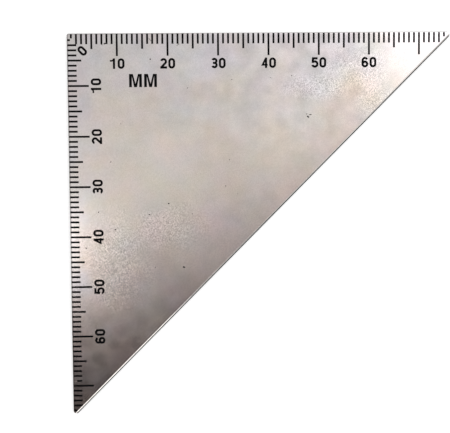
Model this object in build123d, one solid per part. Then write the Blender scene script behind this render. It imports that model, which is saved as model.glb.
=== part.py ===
from build123d import *
import os
from dataclasses import dataclass
from math import cos, radians, sqrt

# A thin steel triangle with one square corner and two equal legs, in millimetres.
# While it is drawn, the square corner is at the origin, the top leg runs along +X
# and the side leg runs along -Y. The back lies on Z = 0 and the graduated face looks up.
LEG = 76.8
THICKNESS = 0.8
TIP_RADIUS = 0.6
CORNER_RADIUS = 0.4
RIM_BEVEL = 0.08

# The plain long edge is ground to a flat bevel, with a steeper nose outside it.
LONG_BEVEL_WIDTH = 0.26
LONG_BEVEL_DROP = 0.11
NOSE_WIDTH = 0.18
NOSE_DROP = 0.2

# The square corner to the far side of a rounded 45 degree tip.
REACH = LEG - sqrt(2) * TIP_RADIUS

# Every mark is etched into the face, and the etching is filled flush with black.
ETCH_DEPTH = 0.08
CUTTER_OVERRUN = 0.5
MARK_START = 0.1
LAST_MARK = 75
LAST_NUMBER = 60

# Numerals are plain strokes. A digit is drawn about the middle of its own cell.
DIGIT_HEIGHT = 2.06
DIGIT_WIDTH = 1.35
DIGIT_STROKE = 0.44
THIN_STROKE = 0.37
DIGIT_PITCH = 1.6
HALF_WIDTH = (DIGIT_WIDTH - DIGIT_STROKE) / 2
HALF_HEIGHT = (DIGIT_HEIGHT - DIGIT_STROKE) / 2
BEND_CENTRE = HALF_HEIGHT - HALF_WIDTH

# Bends are cut in short flats. At this size they stay within 0.01 mm of round.
FLATS_PER_TURN = 16

# The zero that both scales share stands across the square corner.
CORNER_ZERO_ACROSS = 3.02
CORNER_ZERO_DOWN = 3.39
CORNER_ZERO_TURN = 45

# One mark of the side scale has lost the filling of its outer end.
WORN_MARK = 69
WORN_LENGTH = 0.85


@dataclass
class Scale:
    """The millimetre scale along one leg. Depths run in from that leg's edge."""

    upright: bool
    zero: float
    stroke: float
    unit_depth: float
    five_depth: float
    ten_depth: float
    first_depth: float
    last_depth: float
    numeral_depth: float

    def at(self, along, depth):
        """The place so far along the leg from its zero, and so far in from its edge."""
        if self.upright:
            return Pos(self.zero + along, -depth)
        return Pos(depth, -self.zero - along) * Rot(0, 0, 90)

    def mark_depth(self, mark):
        if mark == 1:
            return self.first_depth
        if mark == LAST_MARK:
            return self.last_depth
        if mark % 10 == 0:
            return self.ten_depth
        if mark % 5 == 0:
            return self.five_depth
        return self.unit_depth


TOP_SCALE = Scale(
    upright=True,
    zero=-0.17,
    stroke=0.39,
    unit_depth=2.1,
    five_depth=3.05,
    ten_depth=4.45,
    first_depth=0.95,
    last_depth=0.95,
    numeral_depth=5.93,
)
SIDE_SCALE = Scale(
    upright=False,
    zero=0.28,
    stroke=0.39,
    unit_depth=1.86,
    five_depth=2.8,
    ten_depth=4.2,
    first_depth=0.65,
    last_depth=0.8,
    numeral_depth=5.62,
)


def long_edge_waste():
    """The sliver of metal that grinding the long edge takes away."""
    bevel_start = (-NOSE_WIDTH - LONG_BEVEL_WIDTH, 0)
    bevel_end = (-NOSE_WIDTH, -LONG_BEVEL_DROP)
    nose_end = (0, -LONG_BEVEL_DROP - NOSE_DROP)
    clear_side = (CUTTER_OVERRUN, nose_end[1])
    clear_top = (CUTTER_OVERRUN, CUTTER_OVERRUN)
    clear_start = (bevel_start[0], CUTTER_OVERRUN)
    outline = Polyline(bevel_start, bevel_end, nose_end, clear_side, clear_top, clear_start, close=True)
    across = Plane((LEG / 2, -LEG / 2, THICKNESS), x_dir=(1, -1, 0), z_dir=(-1, -1, 0))
    return extrude(across * make_face(outline), LEG, both=True)


def blank_plate():
    """The cut and deburred triangle, before anything is etched."""
    outline = Polyline((0, 0), (LEG, 0), (0, -LEG), close=True)
    profile = make_face(outline)
    square_corner = profile.vertices().sort_by_distance((0, 0, 0))[0]
    tips = [corner for corner in profile.vertices() if corner != square_corner]
    profile = fillet(tips, TIP_RADIUS)
    square_corner = profile.vertices().sort_by_distance((0, 0, 0))[0]
    profile = fillet(square_corner, CORNER_RADIUS)
    plate = extrude(profile, THICKNESS)
    rims = plate.edges().group_by(Axis.Z)
    return chamfer(rims[0] + rims[-1], RIM_BEVEL) - long_edge_waste()


def on_circle(centre, radius, angle):
    return Vector(*centre) + Vector(radius, 0).rotate(Axis.Z, angle)


def bend(centre, radius, start, sweep):
    """The corners between flats that touch a circle, from a start angle through a sweep."""
    flats = round(abs(sweep) * FLATS_PER_TURN / 360)
    step = sweep / flats
    corner_radius = radius / cos(radians(step / 2))
    return [on_circle(centre, corner_radius, start + step * (i + 0.5)) for i in range(flats)]


def stroke(*points, width=DIGIT_STROKE):
    """An open pen stroke with mitred corners and square ends."""
    return trace(Polyline(*points), width)


def loop(*points):
    """A pen stroke that closes on itself."""
    middle = make_face(Polyline(*points, close=True))
    outer = offset(middle, DIGIT_STROKE / 2, kind=Kind.INTERSECTION)
    return outer - offset(middle, -DIGIT_STROKE / 2, kind=Kind.INTERSECTION)


def digit_zero():
    top = bend((0, BEND_CENTRE), HALF_WIDTH, 0, 180)
    bottom = bend((0, -BEND_CENTRE), HALF_WIDTH, 180, 180)
    return loop(*top, *bottom)


def digit_one():
    stem_x = 0.2
    flag_y = 0.55
    flag_radius = 0.45
    stem = Pos(stem_x, 0) * Rectangle(DIGIT_STROKE, DIGIT_HEIGHT)
    flag_centre = (stem_x - 0.05 - flag_radius, flag_y + flag_radius)
    flag_bend = bend(flag_centre, flag_radius, -90, 90)
    flag_end = on_circle(flag_centre, flag_radius, 0)
    return stem + stroke((-0.6, flag_y), *flag_bend, flag_end, width=0.32)


def digit_two():
    centre = (0, BEND_CENTRE)
    tip = on_circle(centre, HALF_WIDTH, 165)
    hook = bend(centre, HALF_WIDTH, 165, -202)
    foot = Pos(0, -HALF_HEIGHT) * Rectangle(DIGIT_WIDTH, DIGIT_STROKE)
    return stroke(tip, *hook, (-0.4, -0.72)) + foot


def digit_three():
    waist_y = 0.03
    waist = (-0.25, waist_y)
    bowl_x = 0.05
    sweep = 247.5
    upper_radius = (HALF_HEIGHT - waist_y) / 2
    lower_radius = (HALF_HEIGHT + waist_y) / 2
    upper_centre = (bowl_x, waist_y + upper_radius)
    lower_centre = (bowl_x, waist_y - lower_radius)
    upper_bowl = bend(upper_centre, upper_radius, -90, sweep)
    lower_bowl = bend(lower_centre, lower_radius, 90, -sweep)
    upper_tip = on_circle(upper_centre, upper_radius, sweep - 90)
    lower_tip = on_circle(lower_centre, lower_radius, 90 - sweep)
    return stroke(waist, *upper_bowl, upper_tip) + stroke(waist, *lower_bowl, lower_tip)


def digit_four():
    stem_x = 0.3
    bar_y = -0.39
    stem = Pos(stem_x, 0) * Rectangle(DIGIT_STROKE, DIGIT_HEIGHT)
    bar_and_slope = [(0.62, bar_y), (-0.39, bar_y), (stem_x, 0.94)]
    return stem + stroke(*bar_and_slope, width=THIN_STROKE)


def digit_five():
    radius = 0.505
    centre = (0, radius - HALF_HEIGHT)
    roof_and_back = [(0.56, HALF_HEIGHT), (-0.36, HALF_HEIGHT), (-0.43, -0.08)]
    bowl = bend(centre, radius, 150, -310)
    bowl_start = on_circle(centre, radius, 150)
    bowl_tip = on_circle(centre, radius, -160)
    return stroke(*roof_and_back) + stroke(bowl_start, *bowl, bowl_tip)


def digit_six():
    bowl = loop(*bend((0, -BEND_CENTRE), HALF_WIDTH, 0, 360))
    hook_centre = (0, BEND_CENTRE)
    hook = bend(hook_centre, HALF_WIDTH, 180, -157.5)
    hook_tip = on_circle(hook_centre, HALF_WIDTH, 22.5)
    return bowl + stroke((-HALF_WIDTH, -BEND_CENTRE), *hook, hook_tip)


DIGITS = {
    "0": digit_zero(),
    "1": digit_one(),
    "2": digit_two(),
    "3": digit_three(),
    "4": digit_four(),
    "5": digit_five(),
    "6": digit_six(),
}


def number(value):
    """A number's digits side by side, centred on the origin."""
    text = str(value)
    start = -DIGIT_PITCH * (len(text) - 1) / 2
    return [Pos(start + DIGIT_PITCH * i, 0) * DIGITS[digit] for i, digit in enumerate(text)]


def scale_mark(scale, mark, start=MARK_START):
    """One mark of a scale, from its start near the edge to its own depth."""
    depth = scale.mark_depth(mark)
    return scale.at(mark, (start + depth) / 2) * Rectangle(scale.stroke, depth - start)


def scale_numbers(scale):
    """The numbers of one scale, each centred on its ten millimetre mark."""
    digits = []
    for value in range(10, LAST_NUMBER + 1, 10):
        place = scale.at(value, scale.numeral_depth)
        digits += [place * digit for digit in number(value)]
    return digits


def sunk(shapes, height):
    """Flat shapes as solids of one height that stand on the floor of the etching."""
    floor = Pos(0, 0, THICKNESS - ETCH_DEPTH)
    return [extrude(floor * shape, height) for shape in shapes]


every_mark = range(1, LAST_MARK + 1)
top_marks = [scale_mark(TOP_SCALE, mark) for mark in every_mark]
side_marks = [scale_mark(SIDE_SCALE, mark) for mark in every_mark]
side_fills = list(side_marks)
side_fills[WORN_MARK - 1] = scale_mark(SIDE_SCALE, WORN_MARK, start=WORN_LENGTH)

corner_zero_place = Pos(CORNER_ZERO_ACROSS, -CORNER_ZERO_DOWN) * Rot(0, 0, CORNER_ZERO_TURN)
numbers = scale_numbers(TOP_SCALE) + scale_numbers(SIDE_SCALE)
numbers.append(corner_zero_place * DIGITS["0"])
etched = top_marks + side_marks + numbers

nodes = {
    "triangle_plate": blank_plate() - sunk(etched, ETCH_DEPTH + CUTTER_OVERRUN),
    "scale_marks": Compound(sunk(top_marks + side_fills, ETCH_DEPTH)),
    "scale_numbers": Compound(sunk(numbers, ETCH_DEPTH)),
}

# The finished ruler stands with the middle of its box's underside at the origin.
to_origin = Pos(-REACH / 2, REACH / 2, 0)
os.makedirs("parts", exist_ok=True)
for name, shape in nodes.items():
    export_step(to_origin * shape, f"parts/{name}.step")
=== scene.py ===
import math
from dataclasses import dataclass

import bmesh
import bpy
from bpy.props import FloatProperty, FloatVectorProperty, PointerProperty
from bpy.types import NodeSocket, Operator, Panel, PropertyGroup
from mathutils import Matrix, Vector


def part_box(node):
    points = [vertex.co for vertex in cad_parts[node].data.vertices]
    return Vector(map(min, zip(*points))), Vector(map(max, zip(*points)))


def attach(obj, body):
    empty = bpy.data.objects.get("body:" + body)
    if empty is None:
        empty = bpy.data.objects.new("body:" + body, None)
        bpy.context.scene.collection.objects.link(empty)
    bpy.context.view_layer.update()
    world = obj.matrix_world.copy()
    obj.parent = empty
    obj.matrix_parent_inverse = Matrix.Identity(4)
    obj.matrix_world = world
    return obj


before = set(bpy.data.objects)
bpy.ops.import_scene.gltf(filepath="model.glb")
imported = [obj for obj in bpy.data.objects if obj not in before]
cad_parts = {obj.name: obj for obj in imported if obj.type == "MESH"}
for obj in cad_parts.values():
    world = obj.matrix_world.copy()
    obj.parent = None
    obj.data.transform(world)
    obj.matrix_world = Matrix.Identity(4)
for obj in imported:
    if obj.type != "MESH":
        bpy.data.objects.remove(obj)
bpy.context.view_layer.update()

bl_info = {
    "name": "Triangle ruler",
    "version": (1, 0, 0),
    "blender": (4, 5, 0),
    "location": "View3D > Sidebar > Ruler",
    "description": "Finishes, unit mark, handling marks and studio of a small steel triangle ruler",
    "category": "Object",
}

MM = 0.001
WHITE = (1.0, 1.0, 1.0, 1.0)
PLATE_LOW, PLATE_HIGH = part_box("triangle_plate")
SQUARE_CORNER = Vector((PLATE_LOW.x, PLATE_HIGH.y, PLATE_HIGH.z))

# A leg is measured to its sharp tip, which is rounded off on the plate.
TIP_RADIUS = 0.6 * MM
SHARP_LEG = PLATE_HIGH.x - PLATE_LOW.x + math.sqrt(2) * TIP_RADIUS

# The long edge seen from above, in from the edge: a steep nose painted dark as shade, then bright
# ground metal, and a shoulder with painted shade where the face begins. The shoulder's painted
# shade fades out across the plate.
BRIGHT_OUTER = 0.225 * MM
BRIGHT_INNER = 0.39 * MM
BEVEL_INNER = 0.44 * MM
SHOULDER_WIDTH = 0.18 * MM
SHOULDER_FADE = (20 * MM, 30 * MM)
# Painted shade: how far it darkens the shoulder, and then the nose.
SHOULDER_PAINTED_SHADE = 0.65
NOSE_PAINTED_SHADE = 0.85
GRINDING_SIZE = 0.4 * MM
GRINDING_SHADE = (0.86, 1.08)

# The legs' edges seen from above: a cut rim, then the face's own rim inside it, which carries
# painted light. The side leg's rim has painted shade; the top leg's rim has painted shade at the
# left and a painted highlight from about its middle on.
CUT_RIM = 0.07 * MM
FACE_RIM = (0.16 * MM, 0.44 * MM)
SIDE_RIM_PAINTED_SHADE = 0.62
TOP_RIM_TURN = (16 * MM, 30 * MM)
TOP_RIM_SHADE_AND_HIGHLIGHT = (-0.14, 0.16)

# A line between two finishes is softened by this much to each side.
LINE_BLEND = 0.02 * MM
CUT_ROUGHNESS = 0.25

# The greyer cast fades out below the top leg and beside the side leg, and the pinker cast
# sets in on the way to the lower tip. Their borders sway by up to half of SWAY.
COOL_BELOW_TOP = (4 * MM, 21 * MM)
COOL_BESIDE_SIDE = (1 * MM, 8 * MM)
COOL_SIDE_LEVEL = 0.75
ROSE_TOWARDS_TIP = (36 * MM, 56 * MM)
ACROSS_TO_TIP = 0.5
DOWN_TO_TIP = 0.86
SWAY = 30 * MM
DRIFT_IN_CLOUDS = 1.6

# How far the clouds shift red and blue, and one spot that is warmer than the rest.
RED_CLOUDS = (0.95, 1.05)
BLUE_CLOUDS = (0.945, 1.055)
WARM_SPOT = (61.5, 10.0)
WARM_FADE = (3 * MM, 9 * MM)
WARM_RED = 0.02
WARM_BLUE = 0.05

# Frosted patches of the face: middle and half size, across and down, in millimetres.
FROST = [
    (50.5, 10.6, 7.5, 2.6),
    (57.5, 7.5, 6.0, 5.0),
    (60.5, 13.0, 3.5, 4.0),
    (9.0, 45.5, 6.5, 9.0),
    (19.5, 38.5, 7.5, 4.5),
]
FROST_FADE = (0.25, 1.35)
FROST_RAGGED_SIZE = 4 * MM
FROST_RAGGEDNESS = 1.2
FROST_LIGHT = 0.06

# How strong the satin grain is on the plain face, and what a frosted patch adds.
PLAIN_GRAIN = 0.15
FROSTED_GRAIN = 0.85

# The mottling from handling is strongest at the right end and fades to the lower tip.
MOTTLE_SIZE = 2.8 * MM
MOTTLE_CHANGE = (-0.07, 0.07)
MOTTLE_RIGHTWARD = (-20 * MM, 50 * MM)
MOTTLE_STRENGTH = (0.5, 1.9)
MOTTLE_ROUGHNESS = (-0.015, 0.02)
HAZE_SIZE = 12 * MM
HAZE_SHADE = (0.96, 1.04)

# The sheet's slight swell, and the depth of its grain, as bump.
SWELL_SIZE = 14 * MM
SWELL_HEIGHT = 0.008 * MM
SATIN_HEIGHT = 0.0012 * MM

# Noise lies about this mean, nearly all of it within the span and most of it in the core.
NOISE_MEAN = 0.5
NOISE_SPAN = (0.2, 0.8)
NOISE_CORE = (0.3, 0.7)

# Each pattern reads its own part of the noise, moved by this much.
DRIFT_SHIFT = (0.31, 0.12, 0.0)
RED_SHIFT = (0.07, 0.45, 0.0)
BLUE_SHIFT = (0.52, 0.23, 0.0)
FROST_SHIFT = (0.12, 0.33, 0.0)
MOTTLE_SHIFT = (0.2, 0.6, 0.0)
HAZE_SHIFT = (0.6, 0.3, 0.0)
SWELL_SHIFT = (0.5, 0.1, 0.0)

# The black filling's clouds and grain.
FILL_CLOUD_SIZE = 1.2 * MM
FILL_GRAIN_SIZE = 0.1 * MM
FILL_GRAIN_HEIGHT = 0.004 * MM
FILL_GRAIN_STRENGTH = 0.4
FILL_SPAN = (0.3, 0.75)
FILL_FADE = (0.6, 2.2)
FILL_SMOOTHER = 0.08
FILL_ROUGHER = 0.1
FILL_SHINE = 0.05

# The dirt in pits and scuffs.
DIRT_SIZE = 0.3 * MM
DARK_DIRT = (0.012, 0.011, 0.010)
PALE_DIRT = (0.05, 0.045, 0.04)
DIRT_ROUGHNESS = 0.7

# The corners of the unit mark's letter, in parts of its half width and half height.
FORK_HEIGHT = 0.65
VEE_FOOT = 0.22
VEE_SHOULDER = 0.4
VEE_NOTCH = 0.48

# Small pits and scuffs, each with its place on the face in millimetres from the square
# corner, its length, its width and the turn of its length from the top leg, in degrees.
HANDLING_MARKS = [
    (22.6, 46.5, 0.50, 0.34, -20),
    (9.0, 38.8, 0.34, 0.24, 10),
    (47.65, 16.65, 0.60, 0.32, -35),
    (48.1, 16.25, 0.60, 0.18, 10),
    (47.4, 16.1, 0.30, 0.14, 60),
    (19.7, 33.7, 0.34, 0.26, -30),
    (8.3, 25.3, 0.32, 0.14, 60),
    (15.8, 35.9, 0.34, 0.24, 0),
    (50.0, 9.8, 0.20, 0.16, 20),
    (32.5, 9.2, 0.22, 0.15, -45),
    (31.1, 30.3, 0.26, 0.14, 30),
    (44.4, 8.5, 0.24, 0.14, 70),
    (31.9, 25.1, 0.22, 0.14, -10),
    (23.7, 10.8, 0.30, 0.13, 35),
    (10.4, 17.8, 0.18, 0.14, 0),
    (40.2, 8.9, 0.26, 0.10, -20),
    (10.9, 46.1, 0.18, 0.12, 15),
    (16.9, 46.5, 0.22, 0.12, 50),
    (33.5, 31.9, 0.16, 0.12, 0),
    (24.4, 35.8, 0.24, 0.10, -60),
    (16.4, 5.1, 0.30, 0.26, 0),
    (5.7, 35.3, 0.26, 0.20, 0),
    (3.1, 42.5, 0.50, 0.16, -40),
    (7.45, 2.0, 0.42, 0.34, 20),
    (6.9, 2.2, 0.40, 0.12, -25),
    (16.4, 1.3, 1.10, 0.10, -48),
    (21.9, 2.3, 0.80, 0.10, 35),
]
MARK_SIDES = 10

# The dome is laid out by run over rise, which is how far a direction leans for each metre
# that it climbs. Its dim gap is a band across GAP_SIDE, which begins with two soft steps,
# halves far out and fades at both ends.
LEAST_RISE = 0.001
GAP_SIDE = Vector((0.29, -0.957, 0)).normalized()
GAP_FIRST_STEP = (0.025, 0.08)
GAP_SECOND_STEP = (0.12, 0.16)
GAP_FAR_FADE = (0.45, 0.9)
HALF_GAP = 0.5
GAP_END_FADE = (0.5, 0.9)
GAP_TINT = (1.08, 0.98, 0.96)

# The dome grows a little brighter towards the right, with a soft glow high on its left.
DOME_RIGHTWARD = (-0.14, 0.20)
DOME_LEFT = 0.88
DOME_RIGHT = 1.16
GLOW_PLACE = (-0.10, -0.07, 0.0)
GLOW_FADE = (0.02, 0.135)
GLOW_LEVEL = 0.27

# Soft lamps: name, place, the point that it faces, width and depth in metres, and watts.
# The first two glint off the face at its right end and its left side, and the third
# lights the long edge's bevel.
LAMPS = [
    ("right_softbox", (0.252, 0.18, 0.6), (0.252, 0.18, 0.0), 0.22, 0.22, 0.2),
    ("left_strip", (-0.184, -0.062, 0.6), (-0.184, -0.062, 0.0), 0.12, 0.06, 0.062),
    ("bevel_strip", (0.231, -0.507, 0.422), (-0.027, -0.027, 0.0), 0.16, 0.16, 0.13),
]

FLOOR_RADIUS = 3.0
FLOOR_SIDES = 48
FLOOR_DROP = 0.02 * MM
SENSOR_WIDTH = 36.0
CLIP_START = 0.01


def on_face(across, down):
    """The place on the graduated face so many millimetres from the top left square corner."""
    return SQUARE_CORNER + Vector((across * MM, -down * MM, 0))


def opaque(colour):
    return (*colour, 1.0)


class SteelFinish(PropertyGroup):
    """The satin steel of the plate."""

    tan_colour: FloatVectorProperty(
        name="Tan colour",
        description="Colour over the middle of the face",
        subtype="COLOR",
        default=(0.600, 0.537, 0.487),
    )
    cool_colour: FloatVectorProperty(
        name="Cool colour",
        description="Greyer cast along the graduated edges",
        subtype="COLOR",
        default=(0.572, 0.535, 0.538),
    )
    rose_colour: FloatVectorProperty(
        name="Rose colour",
        description="Pinker cast towards the lower tip",
        subtype="COLOR",
        default=(0.615, 0.525, 0.500),
    )
    # The cut edges' colour: dull cut metal, made darker still as painted shade for their dark outline.
    cut_metal_and_shade_colour: FloatVectorProperty(
        name="Cut edge colour",
        description="Dull metal of the cut edges",
        subtype="COLOR",
        default=(0.150, 0.136, 0.126),
    )
    bevel_colour: FloatVectorProperty(
        name="Bevel colour",
        description="Bright ground metal of the long edge",
        subtype="COLOR",
        default=(0.680, 0.650, 0.620),
    )
    cloud_size: FloatProperty(
        name="Cloud size",
        description="Width of the faint coloured clouds",
        unit="LENGTH",
        default=6.5 * MM,
    )
    grain_size: FloatProperty(
        name="Grain size",
        description="Width of the fine satin grain",
        unit="LENGTH",
        default=0.14 * MM,
    )
    roughness: FloatProperty(
        name="Roughness",
        description="Mean roughness of the face",
        default=0.165,
    )


class BlackFill(PropertyGroup):
    """The black filling of the etched scales."""

    colour: FloatVectorProperty(
        name="Colour",
        description="Colour of the filling",
        subtype="COLOR",
        default=(0.0014, 0.0014, 0.0016),
    )
    roughness: FloatProperty(
        name="Roughness",
        description="Roughness of the filling",
        default=0.5,
    )


class UnitMark(PropertyGroup):
    """The pair of capital letters that names the scale's unit."""

    letter_height: FloatProperty(
        name="Letter height",
        description="Height of a letter",
        unit="LENGTH",
        default=2.6 * MM,
    )
    letter_width: FloatProperty(
        name="Letter width",
        description="Width of a letter",
        unit="LENGTH",
        default=2.53 * MM,
    )
    letter_gap: FloatProperty(
        name="Letter gap",
        description="Clear space between the letters",
        unit="LENGTH",
        default=0.44 * MM,
    )
    stem: FloatProperty(
        name="Stem",
        description="Width of an upright",
        unit="LENGTH",
        default=0.54 * MM,
    )
    across: FloatProperty(
        name="Across",
        description="Middle of the mark, in from the side leg",
        unit="LENGTH",
        default=14.91 * MM,
    )
    down: FloatProperty(
        name="Down",
        description="Middle of the mark, in from the top leg",
        unit="LENGTH",
        default=9.28 * MM,
    )
    proud: FloatProperty(
        name="Proud",
        description="How far the mark's film, or that of a pit's dirt, stands out of the face",
        unit="LENGTH",
        default=0.01 * MM,
    )


class Studio(PropertyGroup):
    """The floor, the light and the camera."""

    floor_colour: FloatVectorProperty(
        name="Floor colour",
        description="Colour of the plain floor",
        subtype="COLOR",
        default=(0.72, 0.72, 0.72),
    )
    floor_glow: FloatProperty(
        name="Floor glow",
        description="What the floor adds in direct view and in reflections",
        default=0.5,
    )
    dome_level: FloatProperty(
        name="Dome level",
        description="Brightness of the white dome",
        default=1.0,
    )
    gap_level: FloatProperty(
        name="Gap level",
        description="Brightness of the unlit gap in the dome's top",
        default=0.05,
    )
    lens: FloatProperty(
        name="Lens",
        description="Focal length of the camera in millimetres",
        default=72.0,
    )
    camera_place: FloatVectorProperty(
        name="Camera place",
        description="Where the camera stands",
        subtype="TRANSLATION",
        unit="LENGTH",
        default=(-0.01148, 0.01187, 0.18059),
    )
    camera_turn: FloatVectorProperty(
        name="Camera turn",
        description="How the camera is turned",
        subtype="EULER",
        unit="ROTATION",
        default=(math.radians(-3.267), math.radians(-1.436), math.radians(-0.504)),
    )


class NodeSheet:
    """A small drafting table for one node tree."""

    def __init__(self, tree):
        self.tree = tree
        tree.nodes.clear()

    def add(self, kind, inputs, **settings):
        node = self.tree.nodes.new(kind)
        for key, value in settings.items():
            setattr(node, key, value)
        for key, value in inputs.items():
            self.feed(value, node.inputs[key])
        return node

    def feed(self, value, socket):
        if isinstance(value, NodeSocket):
            self.tree.links.new(value, socket)
        else:
            socket.default_value = value

    def object_place(self):
        """Where the shaded point lies in the piece's own coordinates."""
        return self.add("ShaderNodeTexCoord", {}).outputs["Object"]

    def math(self, operation, *values):
        inputs = dict(enumerate(values))
        return self.add("ShaderNodeMath", inputs, operation=operation).outputs[0]

    def plus(self, first, second):
        return self.math("ADD", first, second)

    def minus(self, first, second):
        return self.math("SUBTRACT", first, second)

    def times(self, first, second):
        return self.math("MULTIPLY", first, second)

    def over(self, first, second):
        return self.math("DIVIDE", first, second)

    def vector(self, operation, *values):
        """Vector arithmetic that gives a vector."""
        inputs = dict(enumerate(values))
        return self.add("ShaderNodeVectorMath", inputs, operation=operation).outputs["Vector"]

    def measure(self, operation, *values):
        """Vector arithmetic that gives a number, such as a length."""
        inputs = dict(enumerate(values))
        return self.add("ShaderNodeVectorMath", inputs, operation=operation).outputs["Value"]

    def ramp(self, value, low, high, to_low=0.0, to_high=1.0):
        """A smooth step of a value from one level to another."""
        inputs = {"Value": value, "From Min": low, "From Max": high, "To Min": to_low, "To Max": to_high}
        return self.add("ShaderNodeMapRange", inputs, interpolation_type="SMOOTHSTEP").outputs[0]

    def noise(self, place, size, detail, shift=None):
        """Noise whose lumps are about as wide as size."""
        if shift:
            place = self.add("ShaderNodeMapping", {"Vector": place, "Location": shift}).outputs[0]
        inputs = {"Vector": place, "Scale": 1.0 / size, "Detail": detail}
        return self.add("ShaderNodeTexNoise", inputs).outputs["Fac"]

    def mix_colour(self, factor, first, second):
        """Two colours mixed. A Mix node has its colour sockets after its other kinds."""
        inputs = {0: factor, 6: first, 7: second}
        return self.add("ShaderNodeMix", inputs, data_type="RGBA").outputs[2]

    def bump(self, height, distance, strength=1.0, over=None):
        """A surface normal from a height pattern, laid over another normal where one is given."""
        inputs = {"Height": height, "Strength": strength, "Distance": distance}
        if over is not None:
            inputs["Normal"] = over
        return self.add("ShaderNodeBump", inputs).outputs[0]

    def surface(self, inputs):
        """Ends the sheet with one principled surface."""
        shader = self.add("ShaderNodeBsdfPrincipled", inputs)
        self.add("ShaderNodeOutputMaterial", {"Surface": shader.outputs[0]})


def new_material(name):
    """A bare material and its drafting table."""
    material = bpy.data.materials.new(name)
    material.use_nodes = True
    return material, NodeSheet(material.node_tree)


@dataclass
class PlatePoint:
    """A shaded point of the plate: its place and its distances from the three edges."""

    place: NodeSocket
    across: NodeSocket
    down: NodeSocket
    to_long_edge: NodeSocket


def plate_point(sheet):
    """What the patterns of the plate read."""
    place = sheet.object_place()
    spread = sheet.add("ShaderNodeSeparateXYZ", {"Vector": place})
    across = sheet.minus(spread.outputs["X"], SQUARE_CORNER.x)
    down = sheet.minus(SQUARE_CORNER.y, spread.outputs["Y"])
    short_of_tips = sheet.minus(SHARP_LEG, sheet.plus(across, down))
    to_long_edge = sheet.over(short_of_tips, math.sqrt(2))
    return PlatePoint(place, across, down, to_long_edge)


def outside_line(sheet, distance, line):
    """1 between an edge and a line along it, and 0 beyond that line."""
    return sheet.ramp(distance, line - LINE_BLEND, line + LINE_BLEND, 1.0, 0.0)


def steel_cast(sheet, finish, point):
    """Tan steel, greyer along the graduated legs and pinker towards the lower tip."""
    drift_size = DRIFT_IN_CLOUDS * finish.cloud_size
    drift = sheet.noise(point.place, drift_size, detail=2.0, shift=DRIFT_SHIFT)
    sway = sheet.times(sheet.minus(drift, NOISE_MEAN), SWAY)
    cool_top = sheet.ramp(sheet.plus(point.down, sway), *COOL_BELOW_TOP, 1.0, 0.0)
    cool_side = sheet.ramp(sheet.plus(point.across, sway), *COOL_BESIDE_SIDE, COOL_SIDE_LEVEL, 0.0)
    cool = sheet.math("MAXIMUM", cool_top, cool_side)
    colour = sheet.mix_colour(cool, opaque(finish.tan_colour), opaque(finish.cool_colour))
    across_part = sheet.times(point.across, ACROSS_TO_TIP)
    down_part = sheet.times(point.down, DOWN_TO_TIP)
    towards_tip = sheet.plus(across_part, down_part)
    rose = sheet.ramp(sheet.plus(towards_tip, sway), *ROSE_TOWARDS_TIP)
    return sheet.mix_colour(rose, colour, opaque(finish.rose_colour))


def cloud_tint(sheet, finish, point):
    """Faint red and blue clouds, with one warmer spot."""
    red_cloud = sheet.noise(point.place, finish.cloud_size, detail=5.0, shift=RED_SHIFT)
    blue_cloud = sheet.noise(point.place, finish.cloud_size, detail=5.0, shift=BLUE_SHIFT)
    red = sheet.ramp(red_cloud, *NOISE_SPAN, *RED_CLOUDS)
    blue = sheet.ramp(blue_cloud, *NOISE_SPAN, *BLUE_CLOUDS)
    from_warm_spot = sheet.measure("DISTANCE", point.place, on_face(*WARM_SPOT))
    warm = sheet.ramp(from_warm_spot, *WARM_FADE, 1.0, 0.0)
    red = sheet.plus(red, sheet.times(warm, WARM_RED))
    blue = sheet.minus(blue, sheet.times(warm, WARM_BLUE))
    return sheet.add("ShaderNodeCombineXYZ", {"X": red, "Y": 1.0, "Z": blue}).outputs[0]


def frost_patches(sheet, point):
    """Where fingers have left the satin lighter and grainier, from 0 to 1."""
    ragged = sheet.noise(point.place, FROST_RAGGED_SIZE, detail=4.0, shift=FROST_SHIFT)
    ragged = sheet.times(sheet.minus(ragged, NOISE_MEAN), FROST_RAGGEDNESS)
    patches = 0.0
    for across, down, half_width, half_height in FROST:
        offset = sheet.vector("SUBTRACT", point.place, on_face(across, down))
        to_unit_circle = (1 / (half_width * MM), 1 / (half_height * MM), 0.0)
        reach = sheet.measure("LENGTH", sheet.vector("MULTIPLY", offset, to_unit_circle))
        patch = sheet.ramp(sheet.plus(reach, ragged), *FROST_FADE, 1.0, 0.0)
        patches = sheet.math("MAXIMUM", patches, patch)
    return patches


def grain_shade(sheet, finish, point):
    """A fine grain, stronger in the frosted patches, which are also a little lighter."""
    frost = frost_patches(sheet, point)
    grain_inputs = {"Vector": point.place, "Scale": 1.0 / finish.grain_size}
    grains = sheet.add("ShaderNodeTexVoronoi", grain_inputs).outputs["Color"]
    strength = sheet.plus(PLAIN_GRAIN, sheet.times(frost, FROSTED_GRAIN))
    grain = sheet.times(sheet.minus(grains, NOISE_MEAN), strength)
    return sheet.plus(1.0, sheet.plus(grain, sheet.times(frost, FROST_LIGHT)))


def mottle_shade(sheet, point, mottle):
    """Broader mottling from handling, under a wide faint haze."""
    rightward = sheet.minus(point.across, point.down)
    strength = sheet.ramp(rightward, *MOTTLE_RIGHTWARD, *MOTTLE_STRENGTH)
    change = sheet.times(sheet.ramp(mottle, *NOISE_SPAN, *MOTTLE_CHANGE), strength)
    haze = sheet.noise(point.place, HAZE_SIZE, detail=2.0, shift=HAZE_SHIFT)
    return sheet.times(sheet.plus(1.0, change), sheet.ramp(haze, *NOISE_CORE, *HAZE_SHADE))


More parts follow.
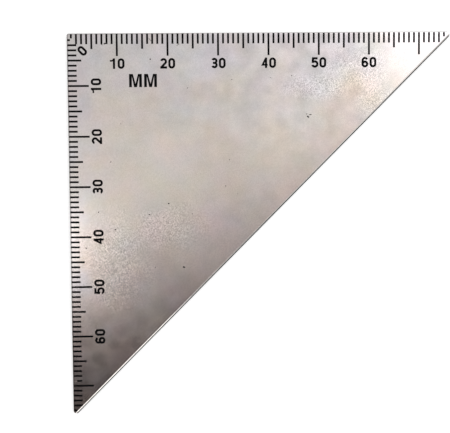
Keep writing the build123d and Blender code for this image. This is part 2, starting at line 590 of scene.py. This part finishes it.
def bevel_and_shoulder_shade(sheet, finish, point, colour):
    """Painted shade on a shoulder along the long edge, and the bright ground metal outside it."""
    shoulder = sheet.ramp(point.to_long_edge, BEVEL_INNER, BEVEL_INNER + SHOULDER_WIDTH, 1.0, 0.0)
    # Painted shade on the shoulder, fading out across the plate.
    shoulder_shade = sheet.ramp(point.across, *SHOULDER_FADE, SHOULDER_PAINTED_SHADE, 0.0)
    colour = sheet.vector("MULTIPLY", colour, sheet.minus(1.0, sheet.times(shoulder, shoulder_shade)))
    grinding = sheet.noise(point.place, GRINDING_SIZE, detail=3.0)
    grinding_shade = sheet.ramp(grinding, *NOISE_CORE, *GRINDING_SHADE)
    bevel_colour = sheet.vector("MULTIPLY", finish.bevel_colour, grinding_shade)
    bevel = outside_line(sheet, point.to_long_edge, BRIGHT_INNER)
    return sheet.mix_colour(bevel, colour, bevel_colour)


def leg_rim_shade_and_highlight(sheet, point, colour):
    """Painted shade at the rim of the side leg, and at that of the top leg painted shade to the left and
    a painted highlight from about its middle on.
    """
    side_rim = sheet.ramp(point.across, *FACE_RIM, SIDE_RIM_PAINTED_SHADE, 1.0)
    top_rim = sheet.ramp(point.down, *FACE_RIM, 1.0, 0.0)
    top_painted_light = sheet.ramp(point.across, *TOP_RIM_TURN, *TOP_RIM_SHADE_AND_HIGHLIGHT)
    top_level = sheet.plus(1.0, sheet.times(top_rim, top_painted_light))
    return sheet.vector("MULTIPLY", colour, sheet.times(side_rim, top_level))


def cut_edges(sheet, finish, point, colour, roughness):
    """Dark cut metal at the rims: partly its dull finish, partly painted shade. The long edge's steep
    nose is painted darker still, as shade, than the cut below it.
    """
    cut_legs = outside_line(sheet, sheet.math("MINIMUM", point.across, point.down), CUT_RIM)
    cut_nose = outside_line(sheet, point.to_long_edge, BRIGHT_OUTER)
    cut = sheet.math("MAXIMUM", cut_legs, cut_nose)
    # Painted shade that darkens the steep nose of the long edge.
    nose_painted_shade = sheet.ramp(point.to_long_edge, 0.0, LINE_BLEND, 0.0, NOSE_PAINTED_SHADE)
    nose_shade = sheet.minus(1.0, sheet.times(cut_nose, nose_painted_shade))
    cut_metal_and_shade_colour = sheet.vector("MULTIPLY", finish.cut_metal_and_shade_colour, nose_shade)
    colour = sheet.mix_colour(cut, colour, cut_metal_and_shade_colour)
    roughness = sheet.plus(roughness, sheet.times(cut, CUT_ROUGHNESS))
    return colour, roughness


def satin_bump(sheet, finish, point):
    """The sheet's slight swell, with its fine grain on it."""
    swell = sheet.noise(point.place, SWELL_SIZE, detail=1.0, shift=SWELL_SHIFT)
    swell_bump = sheet.bump(swell, SWELL_HEIGHT)
    satin = sheet.noise(point.place, 2 * finish.grain_size, detail=2.0)
    return sheet.bump(satin, SATIN_HEIGHT, over=swell_bump)


def satin_steel(finish):
    """Stainless sheet with a fine satin grain, a ground bevel and dull cut edges, with painted shade and
    highlight at its edges.
    """
    material, sheet = new_material("satin_stainless_steel")
    point = plate_point(sheet)
    mottle = sheet.noise(point.place, MOTTLE_SIZE, detail=4.0, shift=MOTTLE_SHIFT)
    tint = cloud_tint(sheet, finish, point)
    shade = sheet.times(grain_shade(sheet, finish, point), mottle_shade(sheet, point, mottle))
    colour = sheet.vector("MULTIPLY", steel_cast(sheet, finish, point), tint)
    colour = sheet.vector("MULTIPLY", colour, shade)
    colour = bevel_and_shoulder_shade(sheet, finish, point, colour)
    colour = leg_rim_shade_and_highlight(sheet, point, colour)
    roughness = sheet.plus(finish.roughness, sheet.ramp(mottle, *NOISE_CORE, *MOTTLE_ROUGHNESS))
    colour, roughness = cut_edges(sheet, finish, point, colour, roughness)
    normal = satin_bump(sheet, finish, point)
    sheet.surface({"Base Color": colour, "Metallic": 1.0, "Roughness": roughness, "Normal": normal})
    return material


def black_fill(fill):
    """Matt black etching ink, a little uneven."""
    material, sheet = new_material("black_scale_filling")
    place = sheet.object_place()
    cloud = sheet.noise(place, FILL_CLOUD_SIZE, detail=3.0)
    fade = sheet.ramp(cloud, *FILL_SPAN, *FILL_FADE)
    colour = sheet.vector("MULTIPLY", fill.colour, fade)
    smoothest = fill.roughness - FILL_SMOOTHER
    roughest = fill.roughness + FILL_ROUGHER
    roughness = sheet.ramp(cloud, *NOISE_CORE, smoothest, roughest)
    grain = sheet.noise(place, FILL_GRAIN_SIZE, detail=1.0)
    normal = sheet.bump(grain, FILL_GRAIN_HEIGHT, FILL_GRAIN_STRENGTH)
    sheet.surface({
        "Base Color": colour,
        "Roughness": roughness,
        "Specular IOR Level": FILL_SHINE,
        "Normal": normal,
    })
    return material


def speck_dirt():
    """Dull dark dirt that sits in small pits and scuffs."""
    material, sheet = new_material("pit_dirt")
    cloud = sheet.noise(sheet.object_place(), DIRT_SIZE, detail=2.0)
    colour = sheet.mix_colour(cloud, opaque(DARK_DIRT), opaque(PALE_DIRT))
    sheet.surface({"Base Color": colour, "Roughness": DIRT_ROUGHNESS})
    return material


def dress(node, material):
    """Gives a CAD node one finish all over."""
    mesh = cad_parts[node].data
    for slot in range(len(mesh.materials)):
        mesh.materials[slot] = material


def mesh_object(bm, name, material):
    """A finished bmesh as an object at the origin."""
    mesh = bpy.data.meshes.new(name)
    bm.to_mesh(mesh)
    bm.free()
    mesh.materials.append(material)
    piece = bpy.data.objects.new(name, mesh)
    bpy.context.scene.collection.objects.link(piece)
    return piece


def piece_from(bm, name, material):
    """A finished piece on the ruler's one body, from a bmesh in place."""
    piece = mesh_object(bm, name, material)
    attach(piece, "root")


def raise_film(bm, faces, thickness):
    """Gives flat faces a film's thickness above themselves and closes the shape."""
    made = bmesh.ops.extrude_face_region(bm, geom=faces)["geom"]
    risen = [part for part in made if isinstance(part, bmesh.types.BMVert)]
    bmesh.ops.translate(bm, verts=risen, vec=(0, 0, thickness))
    bmesh.ops.recalc_face_normals(bm, faces=bm.faces)


class RULER_OT_steel_face(Operator):
    """Gives the plate its satin stainless finish"""

    bl_idname = "ruler.steel_face"
    bl_label = "Finish the steel plate"

    def execute(self, context):
        dress("triangle_plate", satin_steel(context.scene.ruler_steel))
        return {"FINISHED"}


class RULER_OT_scale_filling(Operator):
    """Gives the marks and the numerals their black filling"""

    bl_idname = "ruler.scale_filling"
    bl_label = "Finish the scales"

    def execute(self, context):
        filling = black_fill(context.scene.ruler_fill)
        dress("scale_marks", filling)
        dress("scale_numbers", filling)
        return {"FINISHED"}


def letter_outline(mark):
    """The capital letter of the unit mark, about its own middle."""
    half_width = mark.letter_width / 2
    half_height = mark.letter_height / 2
    inner = half_width - mark.stem
    return [
        (-half_width, -half_height),
        (-inner, -half_height),
        (-inner, half_height * FORK_HEIGHT),
        (-half_width * VEE_FOOT, -half_height),
        (half_width * VEE_FOOT, -half_height),
        (inner, half_height * FORK_HEIGHT),
        (inner, -half_height),
        (half_width, -half_height),
        (half_width, half_height),
        (half_width * VEE_SHOULDER, half_height),
        (0, -half_height * VEE_NOTCH),
        (-half_width * VEE_SHOULDER, half_height),
        (-half_width, half_height),
    ]


class RULER_OT_unit_mark(Operator):
    """Draws the two capital letters that name the millimetre"""

    bl_idname = "ruler.unit_mark"
    bl_label = "Draw the unit mark"

    def execute(self, context):
        mark = context.scene.ruler_unit
        centre = on_face(mark.across / MM, mark.down / MM)
        half_pitch = (mark.letter_width + mark.letter_gap) / 2
        bm = bmesh.new()
        faces = []
        for shift in (-half_pitch, half_pitch):
            places = [centre + Vector((x + shift, y, -mark.proud)) for x, y in letter_outline(mark)]
            faces.append(bm.faces.new([bm.verts.new(place) for place in places]))
        raise_film(bm, faces, 2 * mark.proud)
        filling = bpy.data.materials["black_scale_filling"]
        piece_from(bm, "unit_mark", filling)
        return {"FINISHED"}


class RULER_OT_handling_marks(Operator):
    """Adds the small dark pits and scuffs of a used ruler"""

    bl_idname = "ruler.handling_marks"
    bl_label = "Add the handling marks"

    def execute(self, context):
        thickness = context.scene.ruler_unit.proud
        bm = bmesh.new()
        for across, down, length, width, turn in HANDLING_MARKS:
            place = Matrix.Translation(on_face(across, down) - Vector((0, 0, thickness)))
            turned = Matrix.Rotation(math.radians(turn), 4, "Z")
            size = Matrix.Diagonal((length * MM / 2, width * MM / 2, 1.0, 1.0))
            matrix = place @ turned @ size
            made = bmesh.ops.create_circle(
                bm, cap_ends=True, segments=MARK_SIDES, radius=1.0, matrix=matrix
            )
            faces = list({face for vert in made["verts"] for face in vert.link_faces})
            raise_film(bm, faces, 2 * thickness)
        piece_from(bm, "handling_marks", speck_dirt())
        return {"FINISHED"}


def dome_gap(sheet, direction, rise):
    """1 in the dim gap of the dome, which lies on the side of the long edge, and 0 outside."""
    along_gap = GAP_SIDE.cross(Vector((0, 0, 1)))
    run = sheet.over(sheet.measure("DOT_PRODUCT", direction, GAP_SIDE), rise)
    sideways = sheet.over(sheet.measure("DOT_PRODUCT", direction, along_gap), rise)
    first_step = sheet.ramp(run, *GAP_FIRST_STEP, 0.0, HALF_GAP)
    second_step = sheet.ramp(run, *GAP_SECOND_STEP, 0.0, HALF_GAP)
    far = sheet.ramp(run, *GAP_FAR_FADE, 1.0, HALF_GAP)
    ends = sheet.ramp(sheet.math("ABSOLUTE", sideways), *GAP_END_FADE, 1.0, 0.0)
    band = sheet.times(sheet.plus(first_step, second_step), far)
    return sheet.times(band, ends)


def dome_brightness(sheet, level, run_x, run_y):
    """The white dome's brightness, which grows to the right, with the soft glow added."""
    white = sheet.ramp(run_x, *DOME_RIGHTWARD, DOME_LEFT * level, DOME_RIGHT * level)
    leaning = sheet.add("ShaderNodeCombineXYZ", {"X": run_x, "Y": run_y}).outputs[0]
    from_glow = sheet.measure("DISTANCE", leaning, GLOW_PLACE)
    glow = sheet.ramp(from_glow, *GLOW_FADE, GLOW_LEVEL * level, 0.0)
    return sheet.plus(white, glow)


def dome_world(studio):
    """A white dome with one dim gap near its top."""
    world = bpy.data.worlds.new("studio_dome")
    bpy.context.scene.world = world
    world.use_nodes = True
    sheet = NodeSheet(world.node_tree)
    direction = sheet.add("ShaderNodeTexCoord", {}).outputs["Generated"]
    parts = sheet.add("ShaderNodeSeparateXYZ", {"Vector": direction})
    rise = sheet.math("MAXIMUM", parts.outputs["Z"], LEAST_RISE)
    run_x = sheet.over(parts.outputs["X"], rise)
    run_y = sheet.over(parts.outputs["Y"], rise)
    dim = opaque([studio.gap_level * tint for tint in GAP_TINT])
    colour = sheet.mix_colour(dome_gap(sheet, direction, rise), WHITE, dim)
    strength = dome_brightness(sheet, studio.dome_level, run_x, run_y)
    background = sheet.add("ShaderNodeBackground", {"Color": colour, "Strength": strength})
    sheet.add("ShaderNodeOutputWorld", {"Surface": background.outputs[0]})


def soft_lamp(name, place, target, width, depth, power):
    """A rectangular soft lamp that faces a target point."""
    lamp = bpy.data.lights.new(name, "AREA")
    lamp.shape = "RECTANGLE"
    lamp.size = width
    lamp.size_y = depth
    lamp.energy = power
    holder = bpy.data.objects.new(name, lamp)
    holder.location = place
    holder.rotation_euler = (Vector(target) - Vector(place)).to_track_quat("-Z", "Y").to_euler()
    bpy.context.scene.collection.objects.link(holder)


def white_floor(studio):
    """A white surface that glows a little in direct view and keeps the shadow."""
    material, sheet = new_material("white_floor")
    diffuse = sheet.add("ShaderNodeBsdfDiffuse", {"Color": opaque(studio.floor_colour)})
    path = sheet.add("ShaderNodeLightPath", {})
    seen = sheet.math("MAXIMUM", path.outputs["Is Camera Ray"], path.outputs["Is Glossy Ray"])
    seen = sheet.math("MAXIMUM", seen, path.outputs["Is Transmission Ray"])
    glow = sheet.times(seen, studio.floor_glow)
    emission = sheet.add("ShaderNodeEmission", {"Color": WHITE, "Strength": glow})
    both = sheet.add("ShaderNodeAddShader", {0: diffuse.outputs[0], 1: emission.outputs[0]})
    sheet.add("ShaderNodeOutputMaterial", {"Surface": both.outputs[0]})
    return material


def plain_floor(studio):
    """A wide round floor just under the ruler's back."""
    bm = bmesh.new()
    under = Matrix.Translation((0, 0, -FLOOR_DROP))
    bmesh.ops.create_circle(
        bm, cap_ends=True, segments=FLOOR_SIDES, radius=FLOOR_RADIUS, matrix=under
    )
    floor = mesh_object(bm, "floor", white_floor(studio))


def place_camera(studio):
    """A camera that looks nearly straight down on the face."""
    camera = bpy.data.cameras.new("camera")
    camera.lens = studio.lens
    camera.sensor_width = SENSOR_WIDTH
    camera.clip_start = CLIP_START
    holder = bpy.data.objects.new("camera", camera)
    holder.location = studio.camera_place
    holder.rotation_euler = studio.camera_turn
    bpy.context.scene.collection.objects.link(holder)
    bpy.context.scene.camera = holder


class RULER_OT_studio(Operator):
    """Sets up the floor, the light and the camera"""

    bl_idname = "ruler.studio"
    bl_label = "Set up the studio"

    def execute(self, context):
        studio = context.scene.ruler_studio
        context.scene.view_settings.view_transform = "Standard"
        plain_floor(studio)
        dome_world(studio)
        for lamp in LAMPS:
            soft_lamp(*lamp)
        place_camera(studio)
        return {"FINISHED"}


class RULER_PT_panel(Panel):
    """The steps that dress the ruler, in order"""

    bl_label = "Triangle ruler"
    bl_idname = "RULER_PT_panel"
    bl_space_type = "VIEW_3D"
    bl_region_type = "UI"
    bl_category = "Ruler"

    def draw(self, context):
        for step in STEPS:
            self.layout.operator(step.bl_idname)
        for name in SETTINGS:
            group = getattr(context.scene, name)
            box = self.layout.box()
            for key in type(group).__annotations__:
                box.prop(group, key)


STEPS = (
    RULER_OT_steel_face,
    RULER_OT_scale_filling,
    RULER_OT_unit_mark,
    RULER_OT_handling_marks,
    RULER_OT_studio,
)
SETTINGS = {
    "ruler_steel": SteelFinish,
    "ruler_fill": BlackFill,
    "ruler_unit": UnitMark,
    "ruler_studio": Studio,
}
CLASSES = (*SETTINGS.values(), *STEPS, RULER_PT_panel)


def register():
    for cls in CLASSES:
        bpy.utils.register_class(cls)
    for name, group in SETTINGS.items():
        setattr(bpy.types.Scene, name, PointerProperty(type=group))


def unregister():
    for name in SETTINGS:
        delattr(bpy.types.Scene, name)
    for cls in reversed(CLASSES):
        bpy.utils.unregister_class(cls)


def main():
    register()
    bpy.ops.ruler.steel_face()
    bpy.ops.ruler.scale_filling()
    bpy.ops.ruler.unit_mark()
    bpy.ops.ruler.handling_marks()
    bpy.ops.ruler.studio()


if __name__ == "__main__":
    main()
